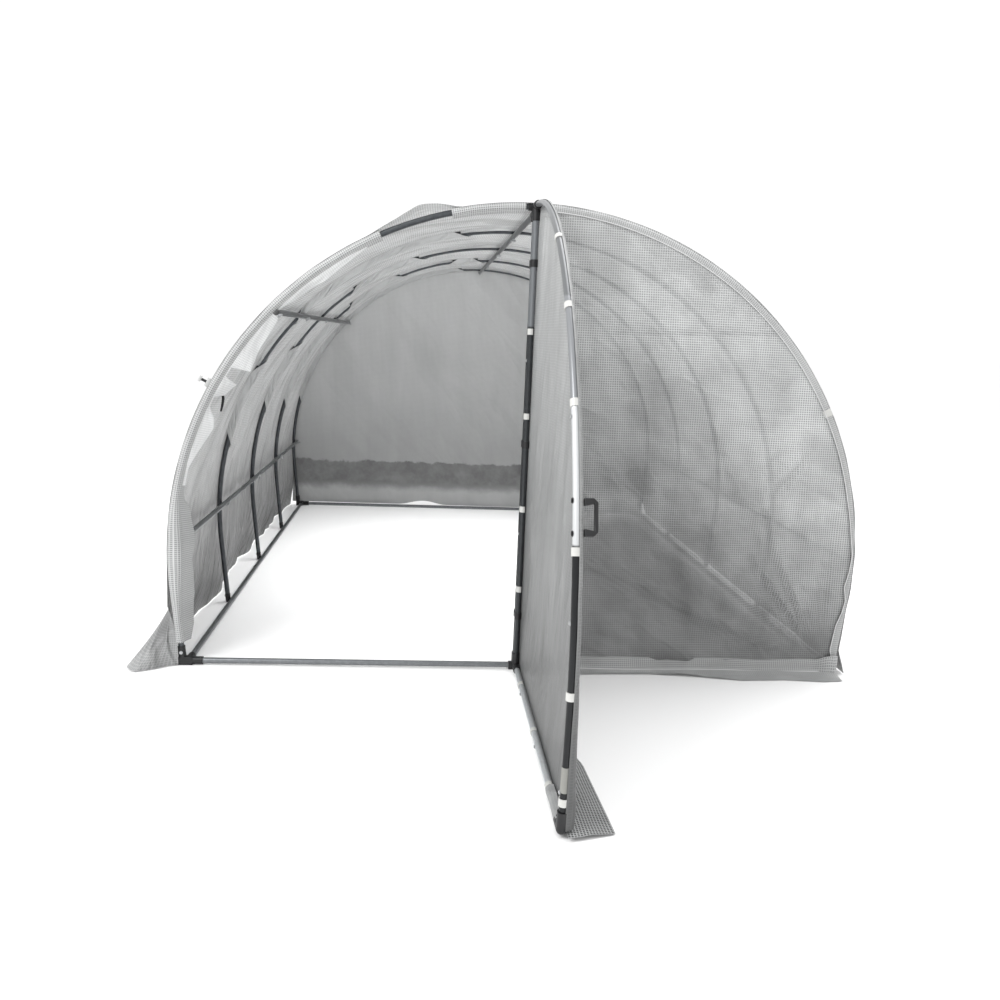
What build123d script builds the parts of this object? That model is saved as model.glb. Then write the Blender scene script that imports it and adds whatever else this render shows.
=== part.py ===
from build123d import *
import math
import os

# A polytunnel greenhouse: bent steel hoops joined by straight tubes and covered in film,
# with a fixed film panel in the right half of its front and one hinged door leaf in the left half.
# Millimetres. +X runs to the right across the front, +Y into the tunnel, +Z up.
# The origin is on the ground, under the centre post of the front hoop.

# Tunnel
tunnel_width = 3000.0       # outside of the hoops, at their widest
tunnel_height = 2000.0      # outside of the hoops, at the ridge
tunnel_length = 4000.0      # first hoop to last hoop, between centrelines
leg_angle = 6.0             # the hoops' straight legs, from upright
hoop_names = ["front", "second", "middle", "fourth", "back"]
upper_purlin_angle = 46.0   # from straight up
lower_purlin_height = 530.0

# Tube and the clearances between pieces
tube_diameter = 25.0
tube_wall = 0.8
seat_gap = 0.3              # between pieces that are bolted or clipped to each other
purlin_overhang = 12.0      # past the centreline of the end hoops

# Moulded fittings
fitting_wall = 4.0
fitting_sole = 0.5          # material under the lowest sleeve
sleeve_length = 60.0
foot_sleeve_length = 80.0
socket_stop = 15.0          # from a fitting's centre to the tube's end

# Film, drawn as thicker solids
film = 3.0
hem = 2.0                   # cover past the end walls
ground_gap = 0.5
roof_half_angle = 50.0      # the roof sheet, each side of straight up
left_skirt_height = 260.0
left_skirt_flare = 80.0
left_corner_flare = 175.0   # at the front corner
left_corner_length = 600.0  # over which it runs in to the skirt's own flare
right_skirt_height = 110.0
right_skirt_flare = 40.0
front_skirt_depth = 100.0
back_skirt_depth = 40.0
panel_notch = 5.0           # around the hinge clips

# Door leaf
hinge_offset = 44.0         # hinge axis in front of the hoop's plane
open_angle = 90.0           # from closed
leaf_rail_height = 26.0
hinge_clip_inset = 230.0    # lowest and highest hinge clips, from the ends of the stile
hinge_clip_length = 30.0
hinge_clip_wall = 3.2
hinge_web = 8.0
rim_clip_shares = [0.153, 0.3, 0.457, 0.586, 0.724]     # of the rim, from its foot
rim_clip_gap = 20.0         # from the outer corner's sleeve to the lowest clip
rail_clip_gap = 5.0         # from the outer corner's sleeve to the outermost clip
stile_clip_shares = [0.16, 0.63]                        # of each span between hinge clips
rail_clip_shares = [0.17, 0.504, 0.81]                  # of the bottom rail, from the hinge
front_clip_angles = [78.0, 60.0, 27.5, 11.0, -6.0]
purlin_clip_turn = 5.0      # from the upper purlin down to the clip under it
clip_length = 25.0
clip_wall = 2.7
clip_mouth_half_angle = 65.0
handle_share = 0.335        # of the rim, from its foot
handle_length = 110.0
handle_reach = 40.0
handle_width = 22.0
handle_grip = 10.0
handle_foot = 22.0
handle_chamfer = 12.0
flap_reach = 135.0
flap_height = 230.0
flap_length = 430.0
flap_clearance = 10.0

# Sizes that follow from these
tube_radius = tube_diameter / 2
tube_bore = tube_radius - tube_wall
arch_outer = tunnel_width / 2
arch_radius = arch_outer - tube_radius
arch_height = tunnel_height - arch_outer
arch_top = arch_height + arch_radius
bay = tunnel_length / (len(hoop_names) - 1)
fitting_bore = tube_radius + seat_gap
fitting_radius = fitting_bore + fitting_wall
rail_height = fitting_radius + fitting_sole
purlin_radius = arch_radius - tube_diameter - seat_gap
lean = math.radians(leg_angle)
cover_radius = arch_outer + seat_gap
wall_offset = fitting_radius + seat_gap
cover_end = wall_offset + film + hem
skirt_top = ground_gap + film


# A place on the arch is given as an angle: 0 at its widest on the right, 90 at the ridge.
# Past the bend into a leg it keeps growing by the length along the tube.
def arc_angle(length):
    return math.degrees(length / arch_radius)


def arc_length(angle):
    return math.radians(angle) * arch_radius


# The right leg at a given height.
def leg_place(height, radius):
    return -leg_angle - arc_angle((arch_height - radius * math.sin(lean) - height) / math.cos(lean))


def arch_x(height, radius):
    leg_top = arch_height - radius * math.sin(lean)
    if height < leg_top:
        return radius * math.cos(lean) - (leg_top - height) * math.tan(lean)
    return math.sqrt(radius**2 - (height - arch_height) ** 2)


rail_x = arch_x(rail_height, purlin_radius)
hoop_start = leg_place(seat_gap, arch_outer)


def straight_bar(radius, start, end, bore=0.0):
    direction = Vector(*end) - Vector(*start)
    section = Circle(radius)
    if bore:
        section -= Circle(bore)
    return extrude(Plane(origin=start, z_dir=direction) * section, direction.length)


# Sweeps a section round the bend and down the legs.
def around_arch(section, radius, start_angle, end_angle):
    pieces = []
    bend_start = max(start_angle, -leg_angle)
    bend_end = min(end_angle, 180 + leg_angle)
    if bend_end > bend_start:
        placed = Rot(0, -bend_start, 0) * Pos(radius, 0, 0) * section
        pieces.append(revolve(placed, Axis((0, 0, 0), (0, -1, 0)), bend_end - bend_start))
    for side, corner in ((-1, -leg_angle), (1, 180 + leg_angle)):
        near, far = sorted(max(0, side * (angle - corner)) for angle in (start_angle, end_angle))
        if far > near:
            placed = Rot(0, -corner, 0) * Pos(radius, 0, side * arc_length(near)) * section
            pieces.append(extrude(placed, side * arc_length(far - near)))
    return Pos(0, 0, arch_height) * (Part() + pieces)


def arch_bar(radius, start_angle, end_angle, bore=0.0):
    section = Circle(radius)
    if bore:
        section -= Circle(bore)
    return around_arch(section, arch_radius, start_angle, end_angle)


def block(low, high):
    size = [b - a for a, b in zip(low, high)]
    centre = [(a + b) / 2 for a, b in zip(low, high)]
    return Pos(*centre) * Box(*size)


# A clip that snaps over a tube. Its mouth opens along the location's x, and the tube runs along its z.
def snap_clip(location):
    reach = 4 * fitting_radius
    half = math.radians(clip_mouth_half_angle)
    corner = (reach * math.cos(half), reach * math.sin(half))
    ring = Circle(fitting_bore + clip_wall) - Circle(fitting_bore)
    ring -= Polygon((0, 0), (corner[0], -corner[1]), corner, align=None)
    return location * extrude(ring, clip_length / 2, both=True)


# On the arch's centreline, facing along it; x_dir points outwards unless it is given.
def arch_location(angle, x_dir=None):
    bend = min(max(angle, -leg_angle), 180 + leg_angle)
    turn = math.radians(bend)
    outward = Vector(math.cos(turn), 0, math.sin(turn))
    along = Vector(-math.sin(turn), 0, math.cos(turn))
    centre = Vector(0, 0, arch_height) + outward * arch_radius + along * arc_length(angle - bend)
    return Plane(origin=centre, x_dir=x_dir or outward, z_dir=along).location


# Frame
def make_hoop(index):
    hoop = arch_bar(tube_radius, hoop_start, 180 - hoop_start, tube_bore)
    return Pos(0, index * bay, 0) * hoop


def make_purlin(x, z, start=-purlin_overhang):
    end = tunnel_length + purlin_overhang
    return straight_bar(tube_radius, (x, start, z), (x, end, z), tube_bore)


def make_cross_rail(y):
    reach = rail_x - socket_stop
    return straight_bar(tube_radius, (-reach, y, rail_height), (reach, y, rail_height), tube_bore)


def make_side_rail(side):
    start = (side * rail_x, socket_stop, rail_height)
    end = (side * rail_x, tunnel_length - socket_stop, rail_height)
    return straight_bar(tube_radius, start, end, tube_bore)


def socket_bores(centre, directions):
    stop = socket_stop - seat_gap
    past = sleeve_length + seat_gap
    bores = []
    for direction in directions:
        start = Vector(*centre) + Vector(*direction) * stop
        end = Vector(*centre) + Vector(*direction) * past
        bores.append(straight_bar(fitting_bore, start, end))
    return bores


# The connector at each corner: a flat block with sockets for the hoop, the side rail and the cross rail.
def make_corner_foot(side, y, inward):
    sleeve_top = hoop_start + arc_angle(foot_sleeve_length)
    outer_x = arch_x(rail_height, arch_radius) + fitting_radius
    centre = (rail_x, 0, rail_height)
    body = block((rail_x - fitting_radius, -fitting_radius, 0), (outer_x, fitting_radius, 2 * rail_height))
    body += arch_bar(fitting_radius, hoop_start + arc_angle(rail_height), sleeve_top)
    body += straight_bar(fitting_radius, centre, (rail_x, inward * sleeve_length, rail_height))
    body += straight_bar(fitting_radius, centre, (rail_x - sleeve_length, 0, rail_height))
    body -= arch_bar(fitting_bore, hoop_start - arc_angle(rail_height), sleeve_top + arc_angle(seat_gap))
    for bore in socket_bores(centre, [(0, inward, 0), (-1, 0, 0)]):
        body -= bore
    if side < 0:
        body = mirror(body, Plane.YZ)
    return Pos(0, y, 0) * body


post_foot_level = rail_height + tube_radius + seat_gap
post_top_level = arch_top - tube_radius - seat_gap


def make_centre_post():
    return straight_bar(tube_radius, (0, 0, post_foot_level), (0, 0, post_top_level), tube_bore)


def make_post_foot():
    half = sleeve_length / 2
    past = half + seat_gap
    body = block((-half, -fitting_radius, 0), (half, fitting_radius, rail_height))
    body += straight_bar(fitting_radius, (-half, 0, rail_height), (half, 0, rail_height))
    body += straight_bar(fitting_radius, (0, 0, rail_height), (0, 0, rail_height + sleeve_length))
    body -= straight_bar(fitting_bore, (-past, 0, rail_height), (past, 0, rail_height))
    body -= straight_bar(fitting_bore, (0, 0, rail_height), (0, 0, rail_height + sleeve_length + seat_gap))
    return body


# The saddle under the front hoop's top, which holds the post and the ridge tube.
def make_apex_clamp():
    ridge = arch_height + purlin_radius
    spread = arc_angle(sleeve_length / 2)
    body = arch_bar(fitting_radius, 90 - spread, 90 + spread)
    body += straight_bar(fitting_radius, (0, 0, arch_top), (0, 0, arch_top - sleeve_length))
    body += straight_bar(fitting_radius, (0, 0, ridge), (0, sleeve_length, ridge))
    body -= arch_bar(fitting_bore, 89 - spread, 91 + spread)
    body -= straight_bar(fitting_bore, (0, 0, arch_top), (0, 0, arch_top - sleeve_length - seat_gap))
    stop = socket_stop - seat_gap
    body -= straight_bar(fitting_bore, (0, stop, ridge), (0, sleeve_length + seat_gap, ridge))
    inside = Pos(0, 0, arch_height) * Rot(90, 0, 0) * Cylinder(arch_outer, 4 * sleeve_length)
    return body & inside


hinge_clip_low = leaf_rail_height + hinge_clip_inset
hinge_clip_high = arch_top - hinge_clip_inset
hinge_clip_heights = {
    "bottom": hinge_clip_low,
    "middle": (hinge_clip_low + hinge_clip_high) / 2,
    "top": hinge_clip_high,
}


# Figure-eight clip: one ring is fast on the post, the door's stile turns in the other.
def make_hinge_clip(height):
    ring = fitting_bore + hinge_clip_wall
    plate = Circle(ring) + Pos(0, -hinge_offset) * Circle(ring)
    plate += Pos(0, -hinge_offset / 2) * Rectangle(hinge_web, hinge_offset)
    plate -= Circle(fitting_bore)
    plate -= Pos(0, -hinge_offset) * Circle(fitting_bore)
    return Pos(0, 0, height) * extrude(plate, hinge_clip_length / 2, both=True)


def hinge_notches(y, depth):
    radius = fitting_bore + hinge_clip_wall + panel_notch
    half = hinge_clip_length / 2 + panel_notch
    notches = [
        block((-radius, y - depth, height - half), (radius, y + depth, height + half))
        for height in hinge_clip_heights.values()
    ]
    return Compound(notches)


def make_front_clips():
    angles = front_clip_angles + [90 - upper_purlin_angle - purlin_clip_turn]
    return Compound([snap_clip(arch_location(angle)) for angle in angles])


# Film
def arch_sheet(start_angle, end_angle):
    depth = tunnel_length + 2 * cover_end
    section = Pos(film / 2, tunnel_length / 2) * Rectangle(film, depth)
    return around_arch(section, cover_radius, start_angle, end_angle)


def make_cover_roof():
    return arch_sheet(90 - roof_half_angle, 90 + roof_half_angle)


def make_cover_side_right():
    return arch_sheet(leg_place(right_skirt_height, cover_radius), 90 - roof_half_angle)


def make_cover_side_left():
    curved = arch_sheet(90 + roof_half_angle, 180)
    low = (-cover_radius - film, -cover_end, left_skirt_height)
    high = (-cover_radius, tunnel_length + cover_end, arch_height)
    return curved + block(low, high)


# A skirt drops from the cover's lower edge and flares out to the ground, by a given reach at each y.
def make_side_skirt(side, top_x, top_z, flares):
    sections = []
    for y, flare in flares:
        slant = film * math.hypot(1, top_z / flare)
        outline = Polygon(
            (side * top_x, top_z),
            (side * (top_x + film), top_z),
            (side * (top_x + flare + slant), ground_gap),
            (side * (top_x + flare), ground_gap),
            align=None,
        )
        sections.append(Pos(0, y, 0) * (Plane.XZ * outline))
    return loft(sections, ruled=True)


def upright_sheet(outline, y):
    return extrude(Pos(0, y, 0) * (Plane.XZ * outline), film, dir=(0, 1, 0))


def arch_outline(low_x, high_x, low_z):
    leg_top = (arch_outer * math.cos(lean), arch_height - arch_outer * math.sin(lean))
    leg_foot = (arch_x(0, arch_outer), 0)
    mirrored = [(-x, z) for x, z in (leg_foot, leg_top)]
    arch = Pos(0, arch_height) * Circle(arch_outer) + Polygon(leg_foot, leg_top, *mirrored[::-1], align=None)
    window = Pos((low_x + high_x) / 2, (low_z + tunnel_height) / 2)
    return arch & window * Rectangle(high_x - low_x, tunnel_height - low_z)


wall_bottom = skirt_top + seat_gap


def make_front_panel():
    outline = arch_outline(0, arch_outer, wall_bottom)
    panel = upright_sheet(outline, -wall_offset - film)
    return panel - hinge_notches(-wall_offset, 2 * film)


def make_back_wall():
    outline = arch_outline(-arch_outer, arch_outer, wall_bottom)
    side_width = arch_outer / 2
    outline += Pos(-arch_outer + side_width / 2, (wall_bottom + arch_height) / 2) * Rectangle(
        side_width, arch_height - wall_bottom
    )
    return upright_sheet(outline, tunnel_length + wall_offset)


def make_front_skirt():
    low = (fitting_radius + panel_notch, -wall_offset - film - front_skirt_depth, ground_gap)
    high = (arch_x(0, arch_outer), -wall_offset, skirt_top)
    return block(low, high)


def make_back_skirt():
    half = arch_x(0, arch_outer)
    start = tunnel_length + wall_offset
    return block((-half, start, ground_gap), (half, start + film + back_skirt_depth, skirt_top))


# Door leaf, drawn closed with the hinge axis as Z: it runs along -X and its outside faces -Y.
rim_foot_angle = 180 - leg_place(leaf_rail_height, arch_radius)
rim_foot_x = -arch_x(leaf_rail_height, arch_radius)
leaf_place = Pos(0, -hinge_offset, 0) * Rot(0, 0, open_angle)


def rim_angle_at(share):
    return rim_foot_angle - share * (rim_foot_angle - 90)


def door_clips(planes):
    return Compound([snap_clip(plane.location) for plane in planes])


def make_door_stile():
    low = (0, 0, leaf_rail_height + socket_stop)
    return straight_bar(tube_radius, low, (0, 0, arch_top - socket_stop), tube_bore)


def make_door_rim():
    start = 90 + arc_angle(socket_stop)
    return arch_bar(tube_radius, start, rim_foot_angle - arc_angle(socket_stop), tube_bore)


def make_door_bottom_rail():
    start = (-socket_stop, 0, leaf_rail_height)
    end = (rim_foot_x + socket_stop, 0, leaf_rail_height)
    return straight_bar(tube_radius, start, end, tube_bore)


# A ball with a socket along each direction, and a bent one where the rim's tube enters.
def elbow(centre, directions, rim_angle=None, toward=1):
    body = Pos(*centre) * Sphere(fitting_radius)
    bores = socket_bores(centre, directions)
    for direction in directions:
        body += straight_bar(fitting_radius, centre, Vector(*centre) + Vector(*direction) * sleeve_length)
    if rim_angle is not None:
        body += rim_piece(fitting_radius, rim_angle, 0, toward * sleeve_length)
        stop = toward * (socket_stop - seat_gap)
        bores.append(rim_piece(fitting_bore, rim_angle, stop, toward * (sleeve_length + seat_gap)))
    for bore in bores:
        body -= bore
    return body


def rim_piece(radius, angle, start_length, end_length):
    low, high = sorted((angle + arc_angle(start_length), angle + arc_angle(end_length)))
    return arch_bar(radius, low, high)


def make_door_corner_top():
    return elbow((0, 0, arch_top), [(0, 0, -1)], 90, 1)


def make_door_corner_hinge():
    return elbow((0, 0, leaf_rail_height), [(0, 0, 1), (-1, 0, 0)])


def make_door_corner_outer():
    return elbow((rim_foot_x, 0, leaf_rail_height), [(1, 0, 0)], rim_foot_angle, -1)


def make_door_film():
    outline = arch_outline(-arch_outer, 0, leaf_rail_height - tube_radius)
    sheet = upright_sheet(outline, -fitting_radius - seat_gap - film)
    return sheet - hinge_notches(-fitting_radius, 2 * film)


def make_door_flap():
    face = fitting_radius + 2 * seat_gap + film
    low = flap_clearance
    edge = arch_x(flap_height, arch_radius)
    top = (-edge, -face, flap_height)
    tip = (rim_foot_x, -face - flap_reach, low)
    near = (rim_foot_x + flap_length, -face, low)
    outline = make_face(Polyline(top, tip, near, close=True))
    return extrude(outline, film, dir=(0, -1, 0))


def make_door_rim_clips():
    angles = [rim_angle_at(share) for share in rim_clip_shares]
    angles.append(rim_foot_angle - arc_angle(sleeve_length + rim_clip_gap + clip_length / 2))
    return Compound([snap_clip(arch_location(angle, (0, -1, 0))) for angle in angles])


def make_door_stile_clips():
    levels = list(hinge_clip_heights.values())
    planes = []
    for low, high in zip(levels, levels[1:]):
        for share in stile_clip_shares:
            planes.append(Plane((0, 0, low + share * (high - low)), x_dir=(0, -1, 0), z_dir=(0, 0, 1)))
    return door_clips(planes)


def make_door_rail_clips():
    places = [share * rim_foot_x for share in rail_clip_shares]
    places.append(rim_foot_x + sleeve_length + rail_clip_gap + clip_length / 2)
    points = [(x, 0, leaf_rail_height) for x in places]
    return door_clips([Plane(point, x_dir=(0, -1, 0), z_dir=(-1, 0, 0)) for point in points])


# A D pull on the outside of the rim, over the film.
def make_door_handle():
    base = fitting_radius + 2 * seat_gap + film
    half = handle_length / 2
    top = base + handle_reach
    outside = Polygon(
        (base, -half),
        (top - handle_chamfer, -half),
        (top, -half + handle_chamfer),
        (top, half - handle_chamfer),
        (top - handle_chamfer, half),
        (base, half),
        align=None,
    )
    inner_top = top - handle_grip
    inner_half = half - handle_foot
    widening = handle_chamfer / 2
    inside = Polygon(
        (base, -inner_half),
        (inner_top, -inner_half - widening),
        (inner_top, inner_half + widening),
        (base, inner_half),
        align=None,
    )
    pull = extrude(outside - inside, handle_width / 2, both=True)
    place = arch_location(rim_angle_at(handle_share), (0, -1, 0))
    return place * Rot(90, 0, 0) * pull


def make_parts():
    upper = math.radians(upper_purlin_angle)
    upper_x = purlin_radius * math.sin(upper)
    upper_z = arch_height + purlin_radius * math.cos(upper)
    lower_x = arch_x(lower_purlin_height, purlin_radius)
    front_end, back_end = -cover_end, tunnel_length + cover_end
    left_flares = [(front_end, left_corner_flare)]
    left_flares += [(y, left_skirt_flare) for y in (left_corner_length, back_end)]
    right_flares = [(y, right_skirt_flare) for y in (front_end, back_end)]
    right_top = (arch_x(right_skirt_height, cover_radius), right_skirt_height - film * math.sin(lean))
    parts = {"hoop_" + name: make_hoop(index) for index, name in enumerate(hoop_names)}
    parts["ridge_purlin"] = make_purlin(0, arch_height + purlin_radius, socket_stop)
    for side, name in ((-1, "left"), (1, "right")):
        parts["upper_purlin_" + name] = make_purlin(side * upper_x, upper_z)
        parts["lower_purlin_" + name] = make_purlin(side * lower_x, lower_purlin_height)
        parts["base_rail_" + name] = make_side_rail(side)
        parts["corner_foot_front_" + name] = make_corner_foot(side, 0, 1)
        parts["corner_foot_back_" + name] = make_corner_foot(side, tunnel_length, -1)
    parts["base_rail_front"] = make_cross_rail(0)
    parts["base_rail_back"] = make_cross_rail(tunnel_length)
    parts["centre_post"] = make_centre_post()
    parts["post_foot"] = make_post_foot()
    parts["apex_clamp"] = make_apex_clamp()
    for name, height in hinge_clip_heights.items():
        parts["hinge_clip_" + name] = make_hinge_clip(height)
    parts["front_clips"] = make_front_clips()
    parts["cover_roof"] = make_cover_roof()
    parts["cover_side_left"] = make_cover_side_left()
    parts["cover_side_right"] = make_cover_side_right()
    parts["skirt_left"] = make_side_skirt(-1, cover_radius, left_skirt_height, left_flares)
    parts["skirt_right"] = make_side_skirt(1, *right_top, right_flares)
    parts["front_panel"] = make_front_panel()
    parts["front_skirt"] = make_front_skirt()
    parts["back_wall"] = make_back_wall()
    parts["back_skirt"] = make_back_skirt()
    leaf = {
        "door_stile": make_door_stile(),
        "door_rim": make_door_rim(),
        "door_bottom_rail": make_door_bottom_rail(),
        "door_corner_top": make_door_corner_top(),
        "door_corner_hinge": make_door_corner_hinge(),
        "door_corner_outer": make_door_corner_outer(),
        "door_film": make_door_film(),
        "door_flap": make_door_flap(),
        "door_rim_clips": make_door_rim_clips(),
        "door_stile_clips": make_door_stile_clips(),
        "door_rail_clips": make_door_rail_clips(),
        "door_handle": make_door_handle(),
    }
    for name, piece in leaf.items():
        parts[name] = leaf_place * piece
    return parts


os.makedirs("parts", exist_ok=True)
for name, piece in make_parts().items():
    export_step(piece, "parts/" + name + ".step")
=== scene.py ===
import math

import bpy
from mathutils import Matrix, Vector, noise


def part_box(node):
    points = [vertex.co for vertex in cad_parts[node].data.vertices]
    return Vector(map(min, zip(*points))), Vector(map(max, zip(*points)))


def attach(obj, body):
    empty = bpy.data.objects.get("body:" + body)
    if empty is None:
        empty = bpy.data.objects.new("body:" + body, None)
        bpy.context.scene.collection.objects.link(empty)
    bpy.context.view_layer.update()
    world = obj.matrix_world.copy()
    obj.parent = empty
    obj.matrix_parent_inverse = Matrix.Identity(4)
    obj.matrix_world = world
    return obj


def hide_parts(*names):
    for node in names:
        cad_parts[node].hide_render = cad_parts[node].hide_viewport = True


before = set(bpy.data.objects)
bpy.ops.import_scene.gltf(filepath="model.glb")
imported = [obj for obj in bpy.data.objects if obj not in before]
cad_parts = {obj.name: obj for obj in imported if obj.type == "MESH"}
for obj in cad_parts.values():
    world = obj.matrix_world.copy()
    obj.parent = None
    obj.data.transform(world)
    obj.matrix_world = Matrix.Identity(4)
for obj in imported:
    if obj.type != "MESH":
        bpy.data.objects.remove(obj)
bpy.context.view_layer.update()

# Sizes taken from the frame, in metres
hoopLow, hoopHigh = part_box("hoop_front")
backHoopLow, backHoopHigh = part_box("hoop_back")
tubeRadius = (hoopHigh.y - hoopLow.y) / 2
archOuter = (hoopHigh.x - hoopLow.x) / 2
archHeight = hoopHigh.z - archOuter
archRadius = archOuter - tubeRadius
tunnelLength = (backHoopLow.y + backHoopHigh.y) / 2
bay = tunnelLength / 4
stileLow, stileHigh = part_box("door_stile")
hingeY = (stileLow.y + stileHigh.y) / 2
railLow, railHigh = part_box("door_bottom_rail")
leafRailZ = (railLow.z + railHigh.z) / 2
panelLow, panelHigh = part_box("front_panel")
panelY = (panelLow.y + panelHigh.y) / 2
wallLow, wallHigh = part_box("back_wall")
coverLow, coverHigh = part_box("cover_roof")
baseLow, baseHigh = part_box("base_rail_left")
coverRadius = archOuter + 0.0018
legAngle = 6.0  # the hoops' straight legs, from upright
legLean = math.radians(legAngle)


# Colour and node helpers
def toLinear(hexColour):
    channels = [int(hexColour[i : i + 2], 16) / 255 for i in (1, 3, 5)]
    return tuple(c / 12.92 if c <= 0.04045 else ((c + 0.055) / 1.055) ** 2.4 for c in channels) + (1.0,)


def setInputs(tree, node, values):  # an output is linked to its socket and anything else is set on it
    for name, value in values.items():
        if isinstance(value, bpy.types.NodeSocket):
            tree.links.new(value, node.inputs[name])
        elif isinstance(name, str) and hasattr(node, name):
            setattr(node, name, value)
        else:
            node.inputs[name].default_value = value


def addNode(tree, kind, values):
    node = tree.nodes.new(kind)
    setInputs(tree, node, values)
    return node


def addMath(tree, operation, *values):
    return addNode(tree, "ShaderNodeMath", {"operation": operation, **dict(enumerate(values))}).outputs[0]


def addRange(tree, value, low, high, toLow=0.0, toHigh=1.0, kind="LINEAR"):
    values = {"Value": value, "From Min": low, "From Max": high, "To Min": toLow, "To Max": toHigh}
    return addNode(tree, "ShaderNodeMapRange", {"interpolation_type": kind, **values}).outputs["Result"]


def addStep(tree, value, low, high, toLow=0.0, toHigh=1.0):
    return addRange(tree, value, low, high, toLow, toHigh, "SMOOTHSTEP")


def addNoise(tree, place, scale, detail, roughness=0.5, distortion=0.0):
    values = {"Scale": scale, "Detail": detail, "Roughness": roughness, "Distortion": distortion}
    return addNode(tree, "ShaderNodeTexNoise", {"Vector": place, **values}).outputs["Fac"]


def addBump(tree, strength, distance, height, under=None):
    values = {"Strength": strength, "Distance": distance, "Height": height}
    if under is not None:
        values["Normal"] = under
    return addNode(tree, "ShaderNodeBump", values).outputs["Normal"]


def mixColours(tree, factor, first, second):  # each colour is a hex code or an output
    first, second = (toLinear(colour) if isinstance(colour, str) else colour for colour in (first, second))
    return addNode(tree, "ShaderNodeMix", {"data_type": "RGBA", 0: factor, 6: first, 7: second}).outputs[2]


def objectPlace(tree):
    return addNode(tree, "ShaderNodeTexCoord", {}).outputs["Object"]


def separate(tree, vector):
    return addNode(tree, "ShaderNodeSeparateXYZ", {"Vector": vector}).outputs


def newMaterial(name):
    material = bpy.data.materials.new(name)
    material.use_nodes = True
    tree = material.node_tree
    return material, tree, tree.nodes["Principled BSDF"]


# Scale, detail, roughness and distortion of each noise in the film, then the widths and depths of its marks
filmNoise = {"mottle": (3.5, 4.0, 0.6), "streaks": (1.0, 5.0, 0.55), "band": (7.0, 6.0, 0.65),
             "crease": (1.0, 3.0, 0.6, 0.3), "crinkle": (55.0, 3.0, 0.55)}
filmMark = {"threadCore": 0.35, "mottleSpan": (0.3, 0.7), "streakSize": (7.0, 7.0, 0.9), "streakSpan": (0.35, 0.65),
            "top": 2.0, "litCornerBack": (0.1, 0.7), "litCornerUp": (0.06, 0.30), "bandWaver": 0.11,
            "bandEdge": (0.045, 0.065), "bandRise": 0.09, "bandFootRise": 0.06, "bandSpread": 0.12,
            "creaseWidth": 0.10, "crinkleDepth": 0.004, "creaseDepth": 0.01, "threadDepth": 0.0006}
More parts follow.
